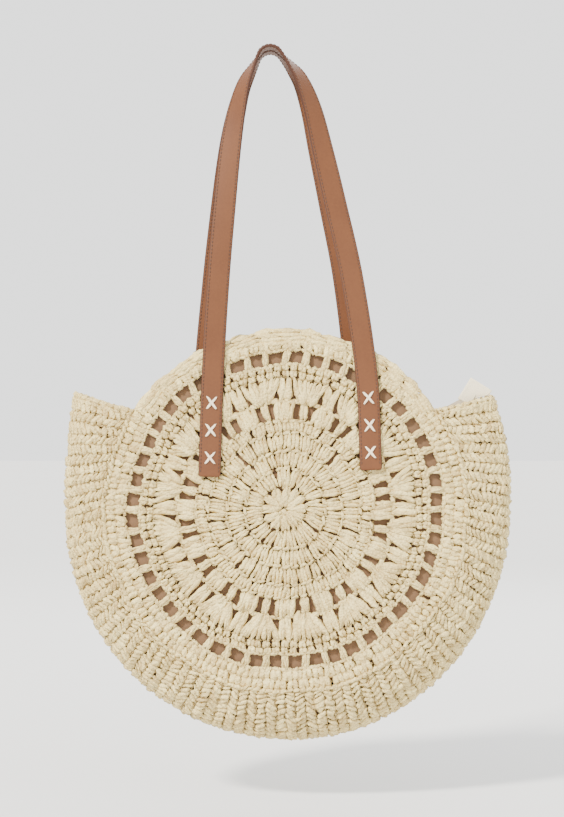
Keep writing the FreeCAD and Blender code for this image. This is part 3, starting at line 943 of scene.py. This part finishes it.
def smooth_path(values, count):
    """Points along a smooth curve through the given rows."""
    values = np.asarray(values, float)
    padded = np.vstack([2 * values[0] - values[1], values, 2 * values[-1] - values[-2]])
    result = []
    for place in np.linspace(0.0, len(values) - 1.0, count):
        k = min(int(place), len(values) - 2)
        f = place - k
        a, b, c, d = padded[k:k + 4]
        result.append(0.5 * (2 * b + (c - a) * f + (2 * a - 5 * b + 4 * c - d) * f * f
                             + (3 * b - a - 3 * c + d) * f ** 3))
    return np.array(result)


PEG_R = 10.0
HINGE_LEVEL = -289.7
PEG_SIDE = 12.0
HINGE_SIDE = 22.2
END_SIDE = 31.5
WRAP_FROM, WRAP_TO = -65.0, 50.0
LEFT_LEG = ((-16.3, -6, 14), (-24.2, -22, 34), (-30.2, -46, 53), (-35.5, -79, 69), (-40.7, -130, 82),
            (-46.6, -200, 90), (-51.9, -289.7, 90))
RIGHT_LEG = ((18.6, -4, 14), (28.6, -18, 34), (38.4, -44, 53), (47.0, -79, 69), (59.0, -130, 82),
             (74.5, -200, 90), (87.5, -289.7, 90))
STRAP_FOOT = {"left": (-54.5, -379.0), "right": (90.9, -373.0)}
CROSS_HEIGHTS = {"left": (-312.6, -337.3, -362.1), "right": (-308.1, -332.9, -357.2)}
BACK_SHIFT = -9.0
STRAP_PRESS_TOP = -0.225
STRAP_GAP = 0.9 * MM
FOLD_RELIEF = 1.9 * MM
FOLD_REACH = 12.0 * MM


def strap_run(side):
    """Middle line of a strap from its left foot over the peg to its right foot: places, face
    directions, and the distance along it."""
    shift = BACK_SHIFT if side == "back" else 0.0
    lean = facing(side)
    radius = PEG_R + sizes().strap_thickness / MM / 2.0

    def leg(stations, sign):
        rows = []
        for x, z, twist in stations:
            y = PEG_SIDE + (HINGE_SIDE - PEG_SIDE) * z / HINGE_LEVEL
            turn = math.radians(twist)
            rows.append((x + shift * z / HINGE_LEVEL, y, z, sign * math.cos(turn), math.sin(turn), 0.0))
        return rows

    def foot(name):
        x, z = STRAP_FOOT[name]
        return (x + shift, END_SIDE, z, 0.0, 1.0, 0.0)

    wrap = [(radius * math.sin(math.radians(a)), PEG_SIDE, radius * math.cos(math.radians(a)),
             math.sin(math.radians(a)), 0.0, math.cos(math.radians(a)))
            for a in np.linspace(WRAP_FROM, WRAP_TO, 9)]
    rows = [foot("left")] + leg(LEFT_LEG, -1)[::-1] + wrap + leg(RIGHT_LEG, 1) + [foot("right")]
    path = smooth_path(rows, 560)
    places = path[:, :3] * MM
    places[:, 1] *= lean
    faces = path[:, 3:]
    faces[:, 1] *= lean
    along = unit(np.gradient(places, axis=0))
    outward = unit(faces - along * np.sum(faces * along, axis=1, keepdims=True))
    beside = np.cross(outward, along)
    arc = np.concatenate([[0.0], np.cumsum(np.linalg.norm(np.diff(places, axis=0), axis=1))])
    return arc, places, beside, outward


def on_strap(run, arc, across, through):
    """Places coordinates along, across and through a strap."""
    at, places, beside, outward = run
    arc = np.clip(arc, at[0], at[-1])

    def read(rows):
        return np.stack([np.interp(arc, at, rows[:, k]) for k in range(3)], axis=-1)

    return (read(places) + np.asarray(across)[..., None] * unit(read(beside))
            + np.asarray(through)[..., None] * unit(read(outward)))


def strap_section_points():
    """Across, through and edge mask of a strap's rounded section, going round once."""
    half_w, half_t = sizes().strap_width / 2.0, sizes().strap_thickness / 2.0
    points = []
    for centre_w, centre_t, start in ((1, 1, 0), (-1, 1, 90), (-1, -1, 180), (1, -1, 270)):
        for k in range(4):
            angle = math.radians(start + 30.0 * k)
            points.append((centre_w * (half_w - 0.9 * MM) + 0.9 * MM * math.cos(angle),
                           centre_t * (half_t - 0.9 * MM) + 0.9 * MM * math.sin(angle)))
        if start in (0, 180):
            for share in (0.66, 0.33, 0.0, -0.33, -0.66):
                swell = 0.12 * MM * (1.0 - share ** 2)
                points.append((centre_w * share * half_w, centre_t * (half_t + swell)))
    return points


def strap_mesh(name, side):
    """One continuous leather strap with rounded edges and rounded feet."""
    run = strap_run(side)
    section = strap_section_points()
    half_w = sizes().strap_width / 2.0
    length = run[0][-1]
    corner = 3.0 * MM
    stations = np.concatenate([[0.0, 0.3 * MM, 0.8 * MM, 1.4 * MM, 2.2 * MM],
                               np.linspace(corner, length - corner, 300),
                               length - np.array([2.2, 1.4, 0.8, 0.3, 0.0]) * MM])
    arcs, across, through, edge = [], [], [], []
    for arc in stations:
        inset = max(0.0, corner - min(arc, length - arc)) / corner
        narrow = 1.0 - 0.18 * (1.0 - math.sqrt(max(0.0, 1.0 - inset ** 2)))
        for w, t in section:
            arcs.append(arc)
            across.append(w * narrow)
            through.append(t * (1.0 - 0.5 * inset ** 6))
            edge.append(1.0 if abs(w) > half_w - 0.75 * MM or inset > 0.95 else 0.0)
    points = on_strap(run, np.array(arcs), np.array(across), np.array(through))
    count = len(section)
    faces = grid_faces(len(stations), count, True)
    faces.append(tuple(reversed(range(count))))
    faces.append(tuple(range(len(points) - count, len(points))))
    return mesh_piece(name, points, faces, "leather", edge=edge), run


def strap_edge_stitches(run, name, seed):
    """Fine running stitches along both edges, on both faces of a strap."""
    work = Stitches(seed)
    inset = sizes().strap_width / 2.0 - 1.9 * MM
    pitch = 3.4 * MM
    count = int((run[0][-1] - 8.0 * MM) / pitch)
    for k in range(count):
        start = 4.0 * MM + pitch * k
        for face in (-1, 1):
            for across in (-inset, inset):
                work.add((start, across), (start + pitch * 0.74, across), 0.95 * MM, 0.8 * MM,
                         face * (sizes().strap_thickness / 2.0 + 0.10 * MM))

    def warp(points):
        return on_strap(run, points[:, 0], points[:, 1], points[:, 2])

    return work.build(name, "edge thread", warp, 0.0, turn=0.03, size=0.05)


def cross_stitch_piece(run, name, which, seed):
    """Three crossed stitches of thick twisted thread over a strap's sewn foot."""
    work = Stitches(seed)
    arc, places = run[0], run[1]
    half = len(arc) // 2
    part = slice(0, half) if which == "left" else slice(half, None)
    for height in CROSS_HEIGHTS[which]:
        order = np.argsort(places[part][:, 2])
        middle = float(np.interp(height * MM, places[part][order, 2], arc[part][order]))
        for layer, slope in enumerate((-1, 1)):
            for ply in (-0.42, 0.42):
                lift = sizes().strap_thickness / 2.0 + (0.75 + 0.75 * layer) * MM
                work.add((middle - 5.6 * MM, slope * -4.4 * MM + ply * MM),
                         (middle + 5.6 * MM, slope * 4.4 * MM + ply * MM), 1.6 * MM, 1.4 * MM, lift)

    def warp(points):
        return on_strap(run, points[:, 0], points[:, 1], points[:, 2])

    return work.build(name, "thread", warp, 0.15 * MM, 900.0, 0.03, 0.04)


# ---------------------------------------------------------------- pieces of the zip and the tab

def chain_teeth(name, side, seed):
    """Coil teeth along a curved tape."""
    work = Stitches(seed)
    low, high = (-2.9, -0.5) if side == "front" else (0.5, 2.9)
    radius = 156.4
    pitch = 1.5
    reach = math.radians(54.6) * radius
    for k in range(int(2 * reach / pitch)):
        u = -reach + pitch * (k + (0.5 if side == "front" else 0.0))
        work.add((u * MM, low * MM), (u * MM + 0.35 * MM, high * MM), 1.05 * MM, 1.5 * MM)

    def warp(points):
        angle = points[:, 0] / (radius * MM)
        r = radius * MM + points[:, 2]
        return np.stack([DISC_X + r * np.sin(angle), points[:, 1], DISC_Z + r * np.cos(angle)], axis=-1)

    return work.build(name, "teeth", warp, 0.0, turn=0.0, size=0.02)


TAB_CORNERS = ((183.6, -289.0), (203.0, -301.0), (200.5, -305.0), (186.0, -308.9), (184.0, -316.0),
               (171.6, -308.4))


def tab_piece(name):
    """Cloth folded over the zip's end: two faces swelling a little between stitched edges."""
    corners = np.array(TAB_CORNERS) * MM
    middle = corners.mean(axis=0)
    outline = []
    for here, beyond in zip(corners, np.roll(corners, -1, axis=0)):
        for f in np.linspace(0, 1, 7)[:-1]:
            outline.append(here + (beyond - here) * f)
    outline = np.array(outline)
    shares = (1.0, 0.985, 0.9, 0.78, 0.6, 0.4, 0.2, 0.02)
    half = (0.25, 0.8, 1.05, 0.8, 1.0, 1.1, 1.15, 1.2)
    points, flat = [], []
    rings = [(share, -h) for share, h in zip(shares, half)][::-1] + [(s, h) for s, h in zip(shares, half)]
    for share, h in rings:
        for place in middle + (outline - middle) * share:
            points.append((place[0], h * MM, place[1]))
            flat.append((place[0], place[1]))
    count = len(outline)
    faces = grid_faces(len(rings), count, True)
    faces.append(tuple(reversed(range(count))))
    faces.append(tuple(range(len(points) - count, len(points))))
    return mesh_piece(name, points, faces, "cloth", ("flat", flat))


# ---------------------------------------------------------------- what each piece is and moves with

SEAM_START = (DISC_X, -2.0 * MM, DISC_Z)
SEAM_END = (DISC_X, -13.0 * MM, DISC_Z)
PANEL_BODY = {"front": "front", "back": "bag"}


def declare(piece, body, slot, *nodes):
    """Attaches a piece to the body it moves with and hides the nodes it stands for."""
    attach(piece, body)
    if nodes:
        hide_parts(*nodes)
    return piece


def bend(piece, start_body, end_body, start, end, slot, *nodes):
    """Hides the nodes a soft piece stands for and bakes its transform into its mesh."""
    if nodes:
        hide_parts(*nodes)
    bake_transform(piece)
    return piece


def bend_gusset(piece, *nodes):
    """Hides the strip's nodes and bakes its transform."""
    return bend(piece, "bag", "front", SEAM_START, SEAM_END, "paper_straw", *nodes)


def bend_strap(piece, side, slot, *nodes):
    """Hides a strap's nodes and bakes its transform."""
    y = facing(side) * HINGE_SIDE * MM
    return bend(piece, PANEL_BODY[side], side + "_handle", (DISC_X, y, HINGE_Z - 6.0 * MM),
                (DISC_X, y, HINGE_Z + 6.0 * MM), slot, *nodes)


def repaint(name, finish):
    """Gives a carried-over node its procedural finish."""
    for candidate in bpy.data.objects:
        if candidate.name == name and candidate.type == "MESH":
            if not candidate.data.materials:
                candidate.data.materials.append(MATERIALS[finish])
            for place in candidate.material_slots:
                place.material = MATERIALS[finish]
            return
    raise RuntimeError("no node named " + name)


# ---------------------------------------------------------------- operators

class BAG_OT_finishes(bpy.types.Operator):
    """Make the finishes and the strand that all stitches are grown from"""
    bl_idname = "bag.finishes"
    bl_label = "Finishes and strand"

    def execute(self, context):
        make_materials()
        TOOLS["strand"] = strand_mesh()
        context.scene.collection.objects.link(TOOLS["strand"])
        TOOLS["tree"] = stitch_tree()
        return {"FINISHED"}


class BAG_OT_panels(bpy.types.Operator):
    """Crochet the two round panels"""
    bl_idname = "bag.panels"
    bl_label = "Round panels"

    def execute(self, context):
        for number, side in enumerate(("front", "back")):
            for k, (name, rounds) in enumerate(PANEL_WORK):
                seed = 11 + 40 * number + k
                work = Stitches(seed)
                rounds(work)
                piece = work.build(side + "_" + name, "straw", panel_warp(side, 3 + number))
                declare(piece, PANEL_BODY[side], "paper_straw", side + "_panel")
        return {"FINISHED"}


class BAG_OT_edgings(bpy.types.Operator):
    """Make the smooth mouth edgings and the seams"""
    bl_idname = "bag.edgings"
    bl_label = "Edgings and seams"

    def execute(self, context):
        for number, side in enumerate(("front", "back")):
            work = Stitches(21 + number)
            edging_band(work)
            piece = work.build(side + "_mouth_band", "straw", panel_warp(side, 3 + number), turn=0.03)
            declare(piece, PANEL_BODY[side], "paper_straw", side + "_mouth_edging")
            work = Stitches(31 + number)
            seam_stitches(work)
            piece = work.build(side + "_seam_stitches", "straw", panel_warp(side, 3 + number))
            declare(piece, PANEL_BODY[side], "paper_straw", side + "_seam")
        return {"FINISHED"}


class BAG_OT_gusset(bpy.types.Operator):
    """Crochet the folded strip that joins the panels, with its hems"""
    bl_idname = "bag.gusset"
    bl_label = "Side strip"

    def execute(self, context):
        size = sizes()
        straw = size.straw
        low = GUSSET_START * GUSSET_IN
        high = GUSSET_END * GUSSET_IN
        half = STRIP_SPREAD * size.half_depth
        pitch = (high - low) / size.gusset_rows
        across = 2.0 * half / size.gusset_stitches
        quarter = size.gusset_rows // 4
        bounds = (0, quarter + 1, 2 * quarter + 1, 3 * quarter + 1, size.gusset_rows)
        for part in range(4):
            work = Stitches(51 + part)
            for row in range(bounds[part], bounds[part + 1]):
                start = low + pitch * row
                slope = 0.34 if row % 2 else -0.34
                for k in range(size.gusset_stitches):
                    w = -half + across * (k + 0.5)
                    shift = work.random.normal(0.0, 0.07) * across
                    work.add((start - 0.02 * pitch, w - slope * pitch + shift),
                             (start + 0.94 * pitch, w + slope * pitch - shift),
                             across * 0.92, straw * 0.98, 0.4 * MM + work.random.normal(0.0, 0.22) * MM)
                    # Low crossing strand between rows, darkened as painted shade in the recess.
                    work.add((start, w - 0.5 * across), (start, w + 0.5 * across), straw * 0.55, straw * 0.6,
                             -1.2 * MM, tone=-0.3)
            piece = work.build("side_strip_%d" % (part + 1), "straw", gusset_warp(5.0), turn=0.2, size=0.2)
            bend_gusset(piece, "side_gusset")
        for name, place in (("right", low), ("left", high)):
            work = Stitches(61 if name == "right" else 62)
            for k in range(22):
                w = -half + 2.0 * half * k / 22.0
                for step in (-1.6, 1.4):
                    work.add((place + step * MM, w - 0.4 * MM), (place + step * MM, w + 5.8 * MM),
                             straw * 0.9, straw * 1.05, 0.6 * MM)
            piece = work.build(name + "_strip_hem", "straw", gusset_warp(5.0))
            bend_gusset(piece, name + "_gusset_hem")
        return {"FINISHED"}


LINING_R = 0.16


class BAG_OT_lining(bpy.types.Operator):
    """Cut the lining's two discs and its side strip"""
    bl_idname = "bag.lining"
    bl_label = "Lining"

    def execute(self, context):
        for side in ("front", "back"):
            piece = disc_sheet(side + "_lining_cloth", side, LINING_R, 3.4 * MM)
            declare(piece, PANEL_BODY[side], "tan_lining", side + "_lining")
        rows, columns = 160, 34
        half = STRIP_SPREAD * sizes().half_depth
        s = np.repeat(np.linspace(GUSSET_START, GUSSET_END, rows), columns)
        t = np.tile(np.linspace(-0.97, 0.97, columns), rows)
        points = on_gusset(s, t, np.full(len(s), -2.9 * MM))
        flat = np.stack([t * half, s * 0.2], axis=-1)
        piece = mesh_piece("side_lining_cloth", points, grid_faces(rows, columns), "lining", ("flat", flat))
        bend(piece, "bag", "front", SEAM_START, SEAM_END, "tan_lining", "side_lining")
        return {"FINISHED"}


class BAG_OT_straps(bpy.types.Operator):
    """Make the leather straps with their edge stitching and the crossed stitches"""
    bl_idname = "bag.straps"
    bl_label = "Straps"

    def execute(self, context):
        for number, side in enumerate(("front", "back")):
            strap, run = strap_mesh(side + "_strap", side)
            bend_strap(strap, side, "tan_leather", side + "_handle_strap", side + "_left_strap_end",
                       side + "_right_strap_end")
            stitches = strap_edge_stitches(run, side + "_strap_stitching", 71 + number)
            bend_strap(stitches, side, "tan_leather")
            for k, which in enumerate(("left", "right")):
                name = side + "_" + which + "_cross"
                piece = cross_stitch_piece(run, name + "_thread", which, 81 + 2 * number + k)
                declare(piece, PANEL_BODY[side], "cream_thread", name + "_stitches")
        return {"FINISHED"}


class BAG_OT_zip(bpy.types.Operator):
    """Make the coil teeth, the end tab and the finishes of the zip"""
    bl_idname = "bag.zip"
    bl_label = "Zip"

    def execute(self, context):
        for number, side in enumerate(("front", "back")):
            piece = chain_teeth(side + "_zip_teeth", side, 91 + number)
            declare(piece, PANEL_BODY[side], "zip_teeth", side + "_zip_chain")
            repaint(side + "_zip_tape", "tape")
            repaint(side + "_zip_stops", "brass")
        repaint("zip_tail", "tape")
        repaint("zip_slider_body", "brass")
        repaint("zip_pull_tab", "brass")
        tab = tab_piece("zip_end_cloth")
        declare(tab, "bag", "cream_cloth", "zip_end_tab")
        return {"FINISHED"}


def area_light(name, place, target, size, power, colour):
    """A soft square light aimed at a place."""
    data = bpy.data.lights.new(name, "AREA")
    data.size = size
    data.energy = power
    data.color = colour
    light = bpy.data.objects.new(name, data)
    light.location = place
    light.rotation_euler = (Vector(target) - Vector(place)).to_track_quat("-Z", "Y").to_euler()
    bpy.context.scene.collection.objects.link(light)


class BAG_OT_stage(bpy.types.Operator):
    """Set the floor, the lights and the camera"""
    bl_idname = "bag.stage"
    bl_label = "Stage"

    def execute(self, context):
        scene = context.scene
        floor_z = DISC_Z - 0.27
        mesh = bpy.data.meshes.new("floor")
        reach = 12.0
        mesh.from_pydata([(-reach, -reach, floor_z), (reach, -reach, floor_z), (reach, reach, floor_z),
                          (-reach, reach, floor_z)], [], [(0, 1, 2, 3)])
        floor = bpy.data.objects.new("floor", mesh)
        made, tree, shader = material("pale floor")
        speckle = noise(tree, object_socket(tree), Scale=2.5, Detail=2.0)
        tree.links.new(mix_colours(tree, speckle, (0.675, 0.675, 0.67), (0.695, 0.695, 0.69)),
                       shader.inputs["Base Color"])
        shader.inputs["Roughness"].default_value = 0.9
        mesh.materials.append(made)
        scene.collection.objects.link(floor)
        world = bpy.data.worlds.new("pale room")
        world.use_nodes = True
        background = world.node_tree.nodes["Background"]
        background.inputs[0].default_value = (0.74, 0.745, 0.74, 1.0)
        background.inputs[1].default_value = 2.75
        scene.world = world
        middle = (DISC_X, 0.0, DISC_Z)
        sun = bpy.data.lights.new("key", "SUN")
        sun.energy = 6.6
        sun.angle = 0.14
        sun.color = (1.0, 0.955, 0.87)
        key = bpy.data.objects.new("key", sun)
        key.rotation_euler = (math.radians(50.0), 0.0, math.radians(-38.0))
        scene.collection.objects.link(key)
        area_light("fill", (1.6, -1.4, 0.2), middle, 1.6, 9.0, (0.94, 0.97, 1.0))
        area_light("behind", (0.6, 1.7, 0.9), middle, 1.4, 26.0, (1.0, 1.0, 1.0))
        data = bpy.data.cameras.new("camera")
        data.sensor_fit = "VERTICAL"
        data.sensor_height = 36.0
        data.lens = 88.1
        camera = bpy.data.objects.new("camera", data)
        camera.location = (0.0108, -1.83, -0.3175)
        camera.rotation_euler = (math.pi / 2.0, 0.0, 0.0)
        scene.collection.objects.link(camera)
        scene.camera = camera
        bpy.data.objects.remove(TOOLS["strand"])
        return {"FINISHED"}


class BAG_PT_pieces(bpy.types.Panel):
    """Lists the steps that build the bag."""
    bl_idname = "BAG_PT_pieces"
    bl_label = "Beach bag"
    bl_space_type = "VIEW_3D"
    bl_region_type = "UI"
    bl_category = "Beach bag"

    def draw(self, context):
        for step in STEPS:
            self.layout.operator(step.bl_idname)
        for settings in (context.scene.bag_sizes, context.scene.bag_colours):
            for name in settings.__annotations__:
                self.layout.prop(settings, name)


STEPS = (BAG_OT_finishes, BAG_OT_panels, BAG_OT_edgings, BAG_OT_gusset, BAG_OT_lining, BAG_OT_straps,
         BAG_OT_zip, BAG_OT_stage)
CLASSES = (BagSizes, BagColours, *STEPS, BAG_PT_pieces)


def register():
    """Adds the classes and the scene's settings."""
    for item in CLASSES:
        bpy.utils.register_class(item)
    bpy.types.Scene.bag_sizes = bpy.props.PointerProperty(type=BagSizes)
    bpy.types.Scene.bag_colours = bpy.props.PointerProperty(type=BagColours)


def unregister():
    """Removes them."""
    del bpy.types.Scene.bag_colours
    del bpy.types.Scene.bag_sizes
    for item in reversed(CLASSES):
        bpy.utils.unregister_class(item)


def main():
    """Builds the whole bag."""
    register()
    for step in STEPS:
        space, label = step.bl_idname.split(".")
        getattr(getattr(bpy.ops, space), label)()


if __name__ == "__main__":
    main()
